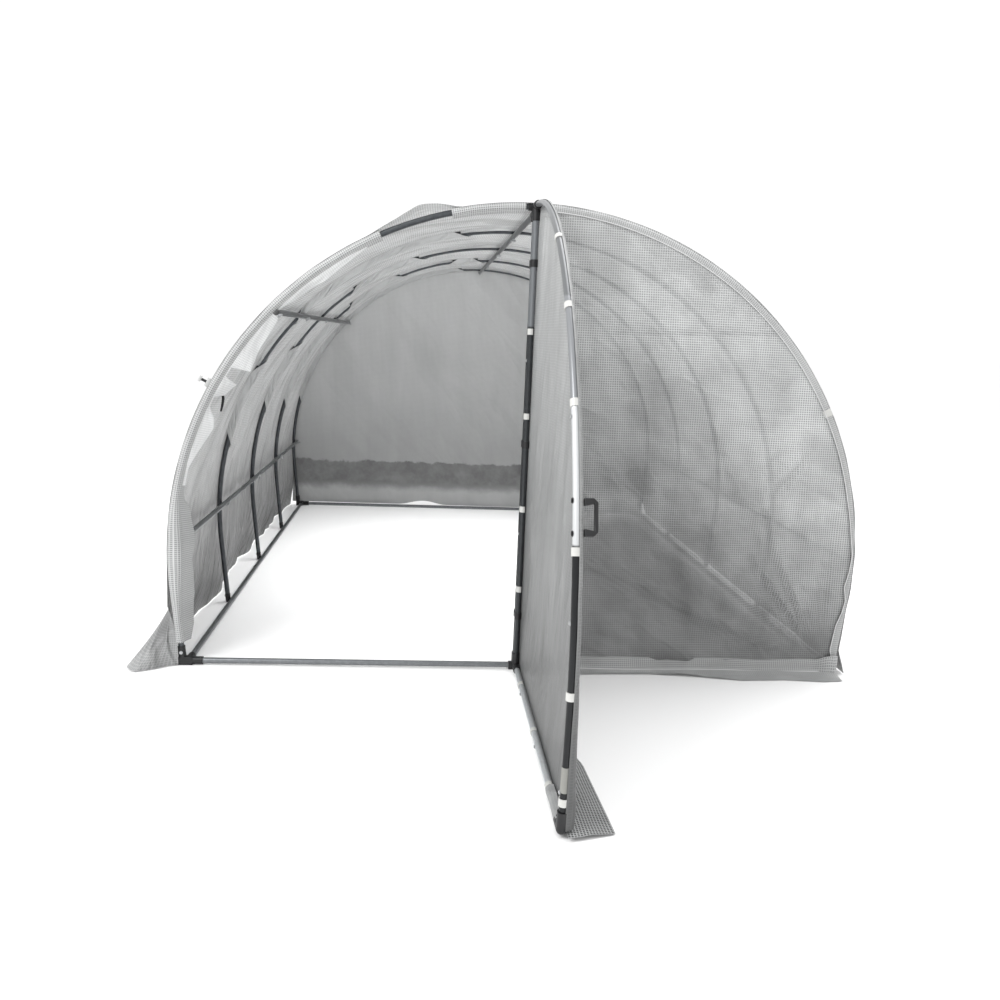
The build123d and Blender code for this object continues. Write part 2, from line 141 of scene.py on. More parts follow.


# Woven polyethylene: slit tapes laminated between two milky skins. Painted shade darkens it
# towards the ground and painted light brightens it towards the top.
def makeFilm(name, look):
    material, tree, surface = newMaterial(name)
    mark = filmMark
    uv = addNode(tree, "ShaderNodeUVMap", {"uv_map": "UVMap"}).outputs["UV"]
    place = objectPlace(tree)
    thread, spot = separate(tree, uv), separate(tree, place)
    # The height that the painted shade and painted light follow; a tilt leans it across the sheet and ragged noise
    # roughens its edge
    raised = addMath(tree, "MAXIMUM", addMath(tree, "MULTIPLY", spot["X"], look["tilt"]), look["leastRise"])
    level = addMath(tree, "ADD", raised, spot["Z"])
    mottle = addNoise(tree, place, *filmNoise["mottle"])
    if look["ragged"]:
        level = addMath(tree, "MULTIPLY_ADD", mottle, look["ragged"], level)
    lines = []
    for axis in ("X", "Y"):
        wave = addMath(tree, "PINGPONG", thread[axis], look["pitch"] / 2)
        lines.append(addStep(tree, wave, look["thread"] * mark["threadCore"], look["thread"], 1.0, 0.0))
    grid = addMath(tree, "MAXIMUM", *lines)
    stretch = addNode(tree, "ShaderNodeMapping", {"Scale": mark["streakSize"], "Vector": place}).outputs[0]
    streaks = addNoise(tree, stretch, *filmNoise["streaks"])
    shades = [
        # painted shade: darker towards the ground
        addStep(tree, level, look["shadeFrom"], look["shadeHeight"], look["shadeTone"], 1.0),
        # painted light: lighter towards the top
        addRange(tree, level, look["shadeHeight"], mark["top"], 1.0, look["litTopTone"]),
        addRange(tree, mottle, *mark["mottleSpan"], 1 - look["mottle"], 1 + look["mottle"]),
        addRange(tree, streaks, *mark["streakSpan"], 1 - look["streaks"], 1 + look["streaks"]),
    ]
    if look["paintedLightCorner"]:  # painted light: the cover's front corner, turned forward, is lightened near the ground
        front = addRange(tree, spot["Y"], *mark["litCornerBack"], look["paintedLightCorner"], 0.0)
        ground = addRange(tree, spot["Z"], *mark["litCornerUp"], 1.0, 0.0)
        shades.append(addMath(tree, "MULTIPLY_ADD", front, ground, 1.0))
    if "band" in look:  # a darker band with a ragged upper edge, and a lighter strip below it
        bandLow, bandHigh = look["band"]
        ragged = addNoise(tree, place, *filmNoise["band"])
        lifted = addMath(tree, "MULTIPLY_ADD", ragged, mark["bandWaver"], spot["Z"])
        upper = addStep(tree, lifted, *(bandHigh + edge for edge in mark["bandEdge"]), 1.0, 0.0)
        lower = addStep(tree, lifted, bandLow, bandLow + mark["bandRise"])
        inBand = addMath(tree, "MULTIPLY", upper, lower)
        less = addRange(tree, ragged, *mark["streakSpan"], look["bandTone"] - 1 - mark["bandSpread"],
                        look["bandTone"] - 1 + mark["bandSpread"])
        shades.append(addMath(tree, "MULTIPLY_ADD", inBand, less, 1.0))
        shades.append(addRange(tree, lifted, bandLow, bandLow + mark["bandFootRise"], look["bandFoot"], 1.0))
    # Painted highlight along the creases, and painted light and shade in patches beside them
    turned = addNode(tree, "ShaderNodeMapping", {"vector_type": "TEXTURE", "Vector": uv, "Scale": look["creaseSize"],
                                                 "Rotation": (0, 0, math.radians(look["creaseTurn"]))}).outputs[0]
    offMiddle = addMath(tree, "SUBTRACT", addNoise(tree, turned, *filmNoise["crease"]), 0.5)
    beside = addMath(tree, "ABSOLUTE", offMiddle)
    crease = addStep(tree, beside, 0.0, mark["creaseWidth"], 1.0, 0.0)
    patchy = addMath(tree, "MULTIPLY_ADD", offMiddle, look["creaseShade"], 1.0)
    shades.append(addMath(tree, "MULTIPLY_ADD", crease, look["creaseHighlight"], patchy))
    shade = shades[0]
    for factor in shades[1:]:
        shade = addMath(tree, "MULTIPLY", shade, factor)
    weave = mixColours(tree, grid, look["film"], look["tape"])
    colour = addNode(tree, "ShaderNodeVectorMath", {"operation": "SCALE", 0: weave, "Scale": shade}).outputs[0]
    clear = addRange(tree, grid, 0.0, 1.0, 1 - look["filmAlpha"], 1 - look["tapeAlpha"])
    # The painted shade also makes the film less see-through towards the ground, so it stays dark there
    shadedLowClear = addRange(tree, level, look["shadeFrom"], look["shadeHeight"], look["lowClear"], 1.0)
    opacity = addMath(tree, "SUBTRACT", 1.0, addMath(tree, "MULTIPLY", clear, shadedLowClear))
    relief = addBump(tree, look["crinkle"], mark["crinkleDepth"], addNoise(tree, place, *filmNoise["crinkle"]))
    relief = addBump(tree, look["creaseRelief"], mark["creaseDepth"], crease, relief)
    relief = addBump(tree, look["relief"], mark["threadDepth"], grid, relief)
    setInputs(tree, surface, {"Base Color": colour, "Alpha": opacity, "Normal": relief, "IOR": 1.51,
                              "Roughness": look["roughness"], "Specular IOR Level": look["gloss"]})
    return material


# Zinc-coated steel tube: dull grey spangle with a soft shine, and another tone above each of its lengths, which is
# partly painted highlight and painted light
def makeSteel(name, look):
    material, tree, surface = newMaterial(name)
    place = objectPlace(tree)
    spangle = addNoise(tree, place, 60.0, 5.0, 0.65)
    colour = mixColours(tree, spangle, look["dark"], look["light"])
    if "lengthTonesAndLight" in look:
        height = separate(tree, place)["Z"]
        for z, tint in look["lengthTonesAndLight"]:
            colour = mixColours(tree, addRange(tree, height, z - 0.004, z + 0.004), colour, tint)
    dull = addRange(tree, spangle, 0.0, 1.0, look["smooth"], look["rough"])
    setInputs(tree, surface, {"Base Color": colour, "Roughness": dull, "Metallic": look["metallic"]})
    return material


# Injection-moulded plastic: even colour with a faint spark-eroded texture
def makePlastic(name, look):
    material, tree, surface = newMaterial(name)
    place = objectPlace(tree)
    colour = mixColours(tree, addNoise(tree, place, 25.0, 3.0), look["dark"], look["light"])
    skin = addBump(tree, look["grain"], 0.0003, addNoise(tree, place, 900.0, 2.0))
    setInputs(tree, surface, {"Base Color": colour, "Normal": skin, "Roughness": look["roughness"],
                              "IOR": look["ior"]})
    return material


filmLook = {"film": "#a0a1a1", "tape": "#b8b9b9", "filmAlpha": 0.80, "tapeAlpha": 0.95, "pitch": 0.010,
            "thread": 0.0022, "shadeFrom": 0.1, "shadeHeight": 1.0, "shadeTone": 0.22, "litTopTone": 1.26, "lowClear": 0.4,
            "mottle": 0.07, "streaks": 0.05, "crinkle": 0.45, "relief": 0.4, "roughness": 0.42, "tilt": 0.0,
            "creaseTurn": 24, "creaseSize": (0.6, 0.15, 1.0), "creaseHighlight": 0.20, "creaseRelief": 1.0,
            "creaseShade": 1.3, "gloss": 0.4, "paintedLightCorner": 0.0, "leastRise": 0.0, "ragged": 0.0}
# The panel's tilted painted shade darkens its lower left and stands for the dark inside seen through the film
panelLook = dict(filmLook, film="#737474", tape="#939494", filmAlpha=0.66, tilt=0.728, shadeFrom=1.15,
                 shadeHeight=1.35, shadeTone=0.66, litTopTone=1.7, lowClear=0.1, mottle=0.18, streaks=0.06, relief=0.7,
                 creaseTurn=-30, creaseSize=(0.5, 0.24, 1.0), creaseHighlight=0.09, creaseRelief=0.4, creaseShade=0.8,
                 leastRise=0.378, ragged=0.26)
wallLook = dict(filmLook, film="#aeafaf", tape="#b7b8b8", filmAlpha=0.9, shadeFrom=0.35, shadeHeight=1.2,
                shadeTone=0.72, litTopTone=1.35, mottle=0.03, streaks=0.04, crinkle=0.12, relief=0.1,
                band=(0.19, 0.385), bandTone=0.42, bandFoot=1.36, creaseTurn=-52, creaseSize=(1.1, 0.30, 1.0),
                creaseHighlight=0.03, creaseRelief=0.15, creaseShade=0.25)
leafLook = dict(filmLook, film="#959696", tape="#9d9e9e", filmAlpha=0.88, shadeFrom=0.0, shadeHeight=1.5,
                shadeTone=0.34, litTopTone=1.15, mottle=0.04, streaks=0.07, crinkle=0.12, relief=0.15, creaseTurn=72,
                creaseSize=(0.6, 0.14, 1.0), creaseHighlight=0.04, creaseRelief=0.2, creaseShade=0.4, gloss=0.12)
wrapLook = dict(leafLook, film="#8c8d8d", tape="#949595", filmAlpha=0.97, shadeTone=1.0, shadeHeight=0.5)
flatLook = dict(filmLook, tapeAlpha=1.0, creaseHighlight=0.0, creaseShade=0.0)
hemLook = dict(flatLook, film="#8e8f8f", tape="#bcbdbd", filmAlpha=0.84, pitch=0.009, shadeFrom=0.0, shadeHeight=0.9,
               shadeTone=0.92, litTopTone=1.1, lowClear=0.6, crinkle=0.2, relief=0.8, creaseRelief=0.0)
linerLook = dict(filmLook, film="#cfd0d0", tape="#dcdddd", filmAlpha=0.9, tapeAlpha=1.0, shadeTone=0.95,
                 lowClear=1.0, litTopTone=1.0, creaseRelief=0.1, creaseShade=0.2)
sleeveLook = dict(flatLook, film="#b4b5b5", tape="#bbbcbc", filmAlpha=0.97, relief=0.2)
netLook = dict(flatLook, film="#2e2f2f", tape="#a6a7a7", filmAlpha=0.95, pitch=0.0105, thread=0.0026, shadeTone=1.0,
               litTopTone=1.0, relief=1.0, creaseRelief=0.0)
coverFilm = makeFilm("wovenPolyethyleneFilm", dict(filmLook, paintedLightCorner=1.6))
panelFilm = makeFilm("wovenPolyethylenePanel", panelLook)
wallFilm = makeFilm("laminatedPolyethyleneWall", wallLook)
leafSkin = makeFilm("laminatedPolyethyleneLeaf", leafLook)
hemFilm = makeFilm("hemmedPolyethyleneFilm", hemLook)
linerFilm = makeFilm("foldedPolyethyleneFilm", linerLook)
sleeveFilm = makeFilm("weldedPolyethyleneSleeve", sleeveLook)
wrapFilm = makeFilm("wrappedPolyethyleneLeafEdge", wrapLook)
netFilm = makeFilm("openWovenPolyethyleneNet", netLook)
# The same galvanised steel in several tones: the darker copies are painted shade and painted dark reflection, the paler
# copies painted light
steel = makeSteel("galvanisedSteelTube", {"dark": "#35373a", "light": "#5d6063", "smooth": 0.24, "rough": 0.4,
                                          "metallic": 0.75})
litSteel = makeSteel("galvanisedSteelRail", {"dark": "#5c5f62", "light": "#8d9092", "smooth": 0.26, "rough": 0.42,
                                              "metallic": 0.7})
# The rim's bright length is a painted highlight as well as its own tube's tone; the post's paler top length is partly
# painted light
rimSteel = makeSteel("galvanisedSteelRim", {"dark": "#101113", "light": "#1c1e20", "smooth": 0.24, "rough": 0.36,
                                            "metallic": 0.4, "lengthTonesAndLight": [(0.883, "#c6c8c9"), (1.27, "#85878a"),
                                                                         (1.59, "#6c6e70")]})
postSteel = makeSteel("galvanisedSteelPost", {"dark": "#26282a", "light": "#3d4042", "smooth": 0.24, "rough": 0.36,
                                             "metallic": 0.5, "lengthTonesAndLight": [(1.5, "#74777a")]})
paintedLightSteel = makeSteel("paintedLightSteelRail", {"dark": "#a9acae", "light": "#cdd0d2", "smooth": 0.3, "rough": 0.45,
                                        "metallic": 0.6})
brightSteel = makeSteel("zincPlatedBolt", {"dark": "#9a9c9e", "light": "#c9cacb", "smooth": 0.25, "rough": 0.4,
                                           "metallic": 1.0})
blackPlastic = makePlastic("mouldedPolypropylene", {"dark": "#0c0c0e", "light": "#18191b", "roughness": 0.42,
                                                    "ior": 1.49, "grain": 0.25})
whitePlastic = makePlastic("mouldedPolyethyleneClip", {"dark": "#b6b6b3", "light": "#c8c8c5", "roughness": 0.38,
                                                       "ior": 1.51, "grain": 0.25})
greyPlastic = makePlastic("mouldedNylonLatch", {"dark": "#a3a4a3", "light": "#bcbdbc", "roughness": 0.42,
                                                "ior": 1.53, "grain": 0.25})
pipingVinyl = makePlastic("extrudedVinylPiping", {"dark": "#c3c4c4", "light": "#d8d8d8", "roughness": 0.45,
                                                  "ior": 1.53, "grain": 0.4})
paperTape = makePlastic("crepePaperTape", {"dark": "#7d7d79", "light": "#92928d", "roughness": 0.8, "ior": 1.46,
                                           "grain": 1.0})
webbing = makePlastic("wovenNylonWebbing", {"dark": "#161617", "light": "#2a2a2c", "roughness": 0.75, "ior": 1.53,
                                            "grain": 1.0})
print("materials made")

# Camera, floor and light
cameraView = {"place": (-0.449, -4.159, 1.453), "yaw": 4.84, "pitch": 9.45, "roll": 2.40, "lens": 35.23}
yaw, pitch, roll = (math.radians(cameraView[key]) for key in ("yaw", "pitch", "roll"))
ahead = Vector((math.sin(yaw) * math.cos(pitch), math.cos(yaw) * math.cos(pitch), -math.sin(pitch)))
levelRight = Vector((math.cos(yaw), -math.sin(yaw), 0))
levelUp = levelRight.cross(ahead)
right = levelRight * math.cos(roll) + levelUp * math.sin(roll)
up = levelUp * math.cos(roll) - levelRight * math.sin(roll)
camera = bpy.data.objects.new("camera", bpy.data.cameras.new("camera"))
bpy.context.scene.collection.objects.link(camera)
camera.matrix_world = Matrix((
    (right.x, up.x, -ahead.x, cameraView["place"][0]),
    (right.y, up.y, -ahead.y, cameraView["place"][1]),
    (right.z, up.z, -ahead.z, cameraView["place"][2]),
    (0, 0, 0, 1),
))
camera.data.lens = cameraView["lens"]
camera.data.sensor_width = 36
bpy.context.scene.camera = camera

bpy.ops.mesh.primitive_plane_add(size=600, location=(0, 2, -0.001))
floor = bpy.context.object
floor.name = "floor"
floorPaint, floorTree, floorSurface = newMaterial("whiteStudioFloor")
floorSurface.inputs["Base Color"].default_value = toLinear("#fbfbfb")
floorSurface.inputs["Roughness"].default_value = 0.9
floor.data.materials.append(floorPaint)

world = bpy.data.worlds.new("studio")
bpy.context.scene.world = world
world.use_nodes = True
world.node_tree.nodes["Background"].inputs["Color"].default_value = toLinear("#ffffff")
world.node_tree.nodes["Background"].inputs["Strength"].default_value = 1.06
bpy.context.scene.view_settings.view_transform = "Standard"

studioLights = {
    "keyLight": {"place": (-5.0, -4.0, 6.0), "aim": (0, 1.5, 0.8), "size": 4.0, "power": 420},
    "topLight": {"place": (2.0, 2.0, 7.0), "aim": (0, 2.0, 0.0), "size": 5.0, "power": 300},
    "tunnelLight": {"place": (-0.1, 2.1, 1.72), "aim": (-0.1, 2.1, 0.0), "size": 2.0, "power": 60, "floorOnly": True},
}
floorOnly = bpy.data.collections.new("floorOnly")
floorOnly.objects.link(floor)
for lightName, light in studioLights.items():
    lamp = bpy.data.objects.new(lightName, bpy.data.lights.new(lightName, "AREA"))
    lamp.data.size = light["size"]
    lamp.data.energy = light["power"]
    lamp.location = light["place"]
    lamp.rotation_euler = (Vector(light["aim"]) - Vector(light["place"])).to_track_quat("-Z", "Y").to_euler()
    lamp.visible_camera = False
    if "floorOnly" in light:  # keeps the floor inside the tunnel as pale as the floor outside
        lamp.light_linking.receiver_collection = floorOnly
    bpy.context.scene.collection.objects.link(lamp)
print("camera, floor and lights placed")


# A place on a hoop: 0 degrees is its widest on the right, 90 the ridge, and past the bend
# into a leg the angle keeps growing with the length along the tube
def bendAt(angle):
    return math.radians(min(max(angle, -legAngle), 180 + legAngle))


def runAt(angle):
    return math.radians(angle) * archRadius


def angleAt(run):
    return math.degrees(run / archRadius)


def archPoint(angle, radius, y):
    turn = bendAt(angle)
    leg = (math.radians(angle) - turn) * archRadius
    return Vector((radius * math.cos(turn) - leg * math.sin(turn), y,
                   archHeight + radius * math.sin(turn) + leg * math.cos(turn)))


def outwardAt(angle):
    return Vector((math.cos(bendAt(angle)), 0, math.sin(bendAt(angle))))


def legAt(z):  # the angle of a height on the left leg; the right leg's is 180 less this
    return 180 + legAngle + angleAt((archHeight - archRadius * math.sin(legLean) - z) / math.cos(legLean))


def archHalf(z, radius):
    legTop = archHeight - radius * math.sin(legLean)
    if z < legTop:
        return radius * math.cos(legLean) - (legTop - z) * math.tan(legLean)
    return math.sqrt(max(radius**2 - (z - archHeight) ** 2, 0))


def leafPoint(along, outward, z):
    return Vector((outward, hingeY - along, z))


def onLeaf(point):  # turns a place on the front arch into the same place on the open leaf
    return leafPoint(-point.x, -point.y, point.z)


def bump01(value, low, high):
    if value <= low or value >= high:
        return 0.0
    return math.sin(math.pi * (value - low) / (high - low)) ** 2


def smooth01(value, low, high):
    t = min(max((value - low) / (high - low), 0.0), 1.0)
    return t * t * (3 - 2 * t)


def within01(value, rise, fall):  # up over the first span and down over the second
    return smooth01(value, *rise) * (1 - smooth01(value, *fall))


def readOff(pairs, value):  # straight lines between (place, value) pairs
    if value <= pairs[0][0]:
        return pairs[0][1]
    for (a, low), (b, high) in zip(pairs, pairs[1:]):
        if value <= b:
            return low + (high - low) * (value - a) / (b - a)
    return pairs[-1][1]


def noiseAt(a, b, c):
    return noise.noise(Vector((a, b, c)))


# Uneven ridges that run along one direction of the cloth
def ridges(a, b, direction, spacing, seed, stretch=6.0):
    turn = math.radians(direction)
    along = a * math.cos(turn) + b * math.sin(turn)
    across = b * math.cos(turn) - a * math.sin(turn)
    drift = noiseAt(a * 1.4, b * 1.4, seed) * spacing * 1.6
    return noiseAt((across + drift) / spacing, along / (spacing * stretch), seed + 7.3)


# Folds that fan out from one corner of the cloth
def fanFolds(a, b, corner, count, seed, reach):
    dx, dy = a - corner[0], b - corner[1]
    away = math.hypot(dx, dy)
    turn = math.atan2(dy, dx) + 0.05 * noiseAt(a * 2, b * 2, seed)
    return noiseAt(turn * count, away * 0.7, seed) * within01(away, (0.02, 0.3), (reach * 0.4, reach))


# A piece's folds, summed: each row is a height and then what ridges or fanFolds takes
def foldSum(rows, a, b, kind=ridges):
    return sum(height * kind(a, b, *row) for height, *row in rows)


def strip(start, end, width):  # a flat cut from start to end one way and its width the other
    return lambda u, v: (start + u * (end - start), v * width)


def makeSheet(name, columns, rows, flat, shape, material):
    bpy.ops.object.select_all(action="DESELECT")
    bpy.ops.mesh.primitive_grid_add(x_subdivisions=columns, y_subdivisions=rows, size=1)
    sheet = bpy.context.object
    sheet.name = name
    sheet.data.name = name
    cut = [flat(vertex.co.x + 0.5, vertex.co.y + 0.5) for vertex in sheet.data.vertices]
    for vertex, (a, b) in zip(sheet.data.vertices, cut):
        vertex.co = shape(a, b)
    sheet.location = (0, 0, 0)
    layer = sheet.data.uv_layers.active.data
    for loop in sheet.data.loops:
        layer[loop.index].uv = cut[loop.vertex_index]
    bpy.ops.object.shade_smooth()
    sheet.data.materials.append(material)
    return sheet


def paint(piece, material):
    piece.data.materials.clear()
    piece.data.materials.append(material)


def joinPieces(pieces, name):
    bpy.ops.object.select_all(action="DESELECT")
    for piece in pieces:
        piece.select_set(True)
    bpy.context.view_layer.objects.active = pieces[0]
    if len(pieces) > 1:
        bpy.ops.object.join()
    joined = bpy.context.object
    joined.name = name
    joined.data.name = name
    return joined


# How far along a folded edge's section each corner is, and the corner at a given distance
def sectionRuns(section):
    runs = [0.0]
    for (a, b), (c, d) in zip(section, section[1:]):
        runs.append(runs[-1] + math.hypot(c - a, d - b))
    return runs


def sectionPoint(section, runs, run):
    return tuple(readOff([(r, point[side]) for r, point in zip(runs, section)], run) for side in (0, 1))


# The cover: one sheet over all five hoops, hanging free below the widest point on the left.
# Fold rows are height, direction, spacing, seed and stretch.
cover = {"leftBreak": 0.26, "rightBreak": 0.11, "rightFlare": 0.04, "sag": 0.014, "groundGap": 0.004,
         "cornerX": [(-0.03, -1.450), (-0.005, -1.478), (0.04, -1.545), (0.11, -1.611), (0.18, -1.647),
                     (0.32, -1.640), (0.80, -1.551)],
         "cornerY": [(-0.03, -0.0215), (-0.005, -0.0235), (0.04, -0.080), (0.11, -0.124), (0.18, -0.076),
                     (0.32, 0.100), (0.80, 0.800)],
         "flare": [(0.0, 0.165), (0.25, 0.13), (0.6, 0.055), (1.2, 0.045), (2.0, 0.06), (2.8, 0.05), (3.5, 0.05),
                   (4.0, 0.03)],
         "lift": [(102.0, 0.0), (105.0, 0.030), (107.6, 0.044), (108.4, 0.043), (112.0, 0.020), (117.0, 0.0)],
         "held": ((-16, 10), (165, 181)), "side": ((142, 160), (178, 190)), "right": (-16, 25),
         "backInset": (3.0, 3.95), "looseBack": (3.3, 3.9), "frontDepth": 0.24, "liftDepth": 0.28,
         "bayFolds": [(0.007, 0, 0.16, 3.1, 4.0), (0.004, 35, 0.09, 8.4, 4.0)],
         "sideFolds": [(0.026, 32, 0.17, 21.5, 6.0)],
         "looseFolds": [(0.028, 18, 0.19, 5.5, 6.0), (0.005, 24, 0.07, 9.5, 6.0)],
         "footFolds": [(0.03, 0, 0.22, 12.0, 5.0)], "rightFolds": [(0.012, 10, 0.13, 15.0, 4.0)]}
coverFront = coverLow.y
coverBack = coverHigh.y
rightLegRun = (archHeight - coverRadius * math.sin(legLean) - cover["rightBreak"]) / math.cos(legLean)
skirtDrop = math.hypot(0.06, cover["leftBreak"])
hangDrop = archHeight - cover["leftBreak"]
arcRun = coverRadius * math.radians(180 + legAngle)
rightDrop = math.hypot(cover["rightFlare"], cover["rightBreak"])
coverRun = skirtDrop + hangDrop + arcRun + rightLegRun + rightDrop


# The sheet's place, the way it faces and its angle on the arch, from the left edge of the sheet
def coverLine(run, y):
    left = -coverRadius
    inset = smooth01(y, *cover["backInset"])  # near the back wall the sheet follows the leg
    if run < skirtDrop:
        left += inset * (archOuter - archHalf(cover["leftBreak"], archOuter))
        t = run / skirtDrop
        flare = readOff(cover["flare"], y)
        bow = 0.25 * flare * math.sin(math.pi * t)
        point = Vector((left - flare * (1 - t) ** 1.2 + bow * 0.3, 0, cover["groundGap"] + cover["leftBreak"] * t))
        return point, Vector((-0.9, 0, 0.4)), 200
    run -= skirtDrop
    if run < hangDrop:
        z = cover["leftBreak"] + run
        point = Vector((left + inset * (archOuter - archHalf(z, archOuter)), 0, z))
        return point, Vector((-1, 0, 0)), 180 + 20 * (1 - run / hangDrop)
    run -= hangDrop
    if run < arcRun + rightLegRun:
        angle = 180 - math.degrees(run / coverRadius)
        if run > arcRun:
            angle = -legAngle - angleAt(run - arcRun)
        return archPoint(angle, coverRadius, 0), outwardAt(angle), angle
    t = (run - arcRun - rightLegRun) / rightDrop
    lowEnd = -legAngle - angleAt(rightLegRun)
    start = archPoint(lowEnd, coverRadius, 0)
    point = start + Vector((cover["rightFlare"] * t, 0, (cover["groundGap"] - start.z) * t))
    return point, Vector((0.9, 0, 0.3)), lowEnd


def coverShape(run, y):
    point, outward, angle = coverLine(run, y)
    point.y = y
    inBay = math.sin(math.pi * min(max(y, 0), tunnelLength) / bay) ** 2
    front = 1 - smooth01(y, coverFront, coverFront + cover["frontDepth"])
    push = -cover["sag"] * inBay * within01(angle, *cover["held"])
    push += inBay * foldSum(cover["bayFolds"], run, y)
    push += inBay * foldSum(cover["sideFolds"], run, y) * within01(angle, *cover["side"])
    loose = 1 - smooth01(run, skirtDrop * 0.6, skirtDrop + hangDrop + 0.15)
    loose *= (1 - smooth01(y, *cover["looseBack"])) * (1 - 0.7 * front)
    push += loose * foldSum(cover["looseFolds"], run, y)
    if run < skirtDrop:
        if y < cover["cornerX"][-1][0]:  # the front corner is drawn forward round the foot
            low = (1 - run / skirtDrop) ** 1.15
            point.x += (readOff(cover["cornerX"], y) - coverLine(0, y)[0].x) * low
            point.y += (readOff(cover["cornerY"], y) - y) * low
        point.x -= (1 - run / skirtDrop) * (1 - front) * foldSum(cover["footFolds"], run, y)
    lift = readOff(cover["lift"], angle) * (1 - smooth01(y, coverFront, coverFront + cover["liftDepth"]))
    push += lift
    point.y += 0.004 * front * noiseAt(run * 9, 0.3, 2.0) + 0.04 * lift
    rightSide = 1 - smooth01(angle, *cover["right"])
    push += 0.008 * rightSide * front * noiseAt(run * 7, 1.7, 4.0)
    push += rightSide * inBay * foldSum(cover["rightFolds"], run, y)
    point += outward * push
    point.z = max(point.z, 0.003)
    return point


tunnelCover = makeSheet("tunnelCover", 235, 164,
                        lambda u, v: (u * coverRun, coverFront + v * (coverBack - coverFront)),
                        coverShape, coverFilm)
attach(tunnelCover, "frame")
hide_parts("cover_roof", "cover_side_left", "cover_side_right", "skirt_left", "skirt_right")
print("cover made")

# The cover's front edge is doubled over the front hoop. On the open side its tail shows inside
# as flaps of uneven width; section corners are distances out from the tube's centre and along y.
leftHem = {"section": [(0.0165, 0.040), (0.0168, 0.0), (0.0150, -0.018), (0.0095, -0.0245), (0.0, -0.0262),
                       (-0.0110, -0.0235), (-0.0185, -0.0130), (-0.0195, 0.0)],
           "tail": [(104, 0.010), (118, 0.010), (121, 0.030), (127, 0.055), (133, 0.030), (135.5, 0.012), (137, 0.055),
                    (142, 0.080), (147.0, 0.115), (147.6, 0.010), (149.6, 0.010), (150.0, 0.100), (152.6, 0.060),
                    (153.2, 0.010), (155, 0.012), (157, 0.070), (158.6, 0.085), (166, 0.015), (171, 0.020), (173, 0.060),
                    (178, 0.075), (182, 0.055), (188, 0.075), (193, 0.060), (196, 0.030)],
           "pale": (118, 169.0), "paleInside": 0.0205, "maxTail": 0.12, "swell": (169.0, 192.0), "reach": 0.026,
           "low": 115.2, "lowEnd": 0.10, "top": (91.6, 103.4)}
hemRuns = sectionRuns(leftHem["section"])
hemWidth = hemRuns[-1] + leftHem["maxTail"]


def leftHemShape(along, across):
    angle = angleAt(along)
    wobble = noiseAt(along * 11, across * 20, 3.0)
    swell = leftHem["reach"] * bump01(angle, *leftHem["swell"])  # over the end of the lower purlin
    if across <= hemRuns[-1]:
        out, y = sectionPoint(leftHem["section"], hemRuns, across)
        out += 0.0016 * wobble - swell * smooth01(-out, 0.0, 0.018)
    else:
        tail = (across - hemRuns[-1]) / leftHem["maxTail"] * readOff(leftHem["tail"], angle)
        flutter = 0.012 * tail / 0.1 * noiseAt(along * 7, 0.0, 9.0)
        out = leftHem["section"][-1][0] - swell - 0.55 * tail + flutter
        y = 0.84 * tail + flutter
    return archPoint(angle, archRadius, y) + outwardAt(angle) * out


def makeLeftHem(name, startAngle, endAngle, columns):
    start, end = runAt(startAngle), runAt(endAngle)
    hem = makeSheet(name, columns, 16, strip(start, end, hemWidth), leftHemShape, hemFilm)
    hem.data.materials.append(linerFilm)
    paleFrom, paleTo = leftHem["pale"]
    for face in hem.data.polygons:
        middle = face.center - Vector((0, 0, archHeight))
        angle = math.degrees(math.atan2(middle.z, middle.x)) % 360
        away = math.hypot(middle.x, middle.z)
        inTail = away < archRadius - leftHem["paleInside"] or face.center.y > 0.004
        if inTail and paleFrom < angle < paleTo and away < archRadius:
            face.material_index = 1
    return hem, end - start


hemLow, hemLowRun = makeLeftHem("hemLow", leftHem["low"], legAt(leftHem["lowEnd"]), 230)
hemTop, hemTopRun = makeLeftHem("hemTop", *leftHem["top"], 40)
doorSideHem = joinPieces([hemLow, hemTop], "doorSideHem")
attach(doorSideHem, "frame")

# On the panel side the doubled edge covers the panel's rim and ends in a welt that wanders low down
rightHem = {"section": [(0.0168, 0.040), (0.0170, -0.010), (0.0150, -0.0205), (0.0085, -0.0250), (-0.0030, -0.0262)],
            "inset": [(-19.5, 0.070), (-17.6, 0.048), (-16.0, 0.032), (-15.0, 0.042), (-10.5, 0.038), (-8.0, 0.022),
                      (-6.0, 0.018), (-3.5, 0.034), (-1.0, 0.022), (2.0, 0.014), (5.0, 0.022), (12.0, 0.030),
                      (30.0, 0.034), (60.0, 0.036), (89.0, 0.033)],
            "lap": 0.05, "stand": 0.004, "footZ": 0.035, "top": 89.0}
rightRuns = sectionRuns(rightHem["section"])
rightHemWidth = rightRuns[-1] + rightHem["lap"]


def rightHemEdge(angle):
    return archOuter + rightHem["stand"] - archRadius - readOff(rightHem["inset"], angle)


def rightHemShape(along, across):
    angle = angleAt(along)
    wobble = noiseAt(along * 9, across * 15, 5.0)
    if across <= rightRuns[-1]:
        out, y = sectionPoint(rightHem["section"], rightRuns, across)
        out += 0.0012 * wobble
    else:
        out, y = rightHem["section"][-1]
        t = (across - rightRuns[-1]) / rightHem["lap"]
        out += (rightHemEdge(angle) - out) * t
        y += 0.0022 * t + 0.0012 * wobble * t
    return archPoint(angle, archRadius, y) + outwardAt(angle) * out


hemStart, hemEnd = runAt(180 - legAt(rightHem["footZ"])), runAt(rightHem["top"])
panelHem = makeSheet("panelHem", 240, 12, strip(hemStart, hemEnd, rightHemWidth), rightHemShape, hemFilm)
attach(panelHem, "frame")


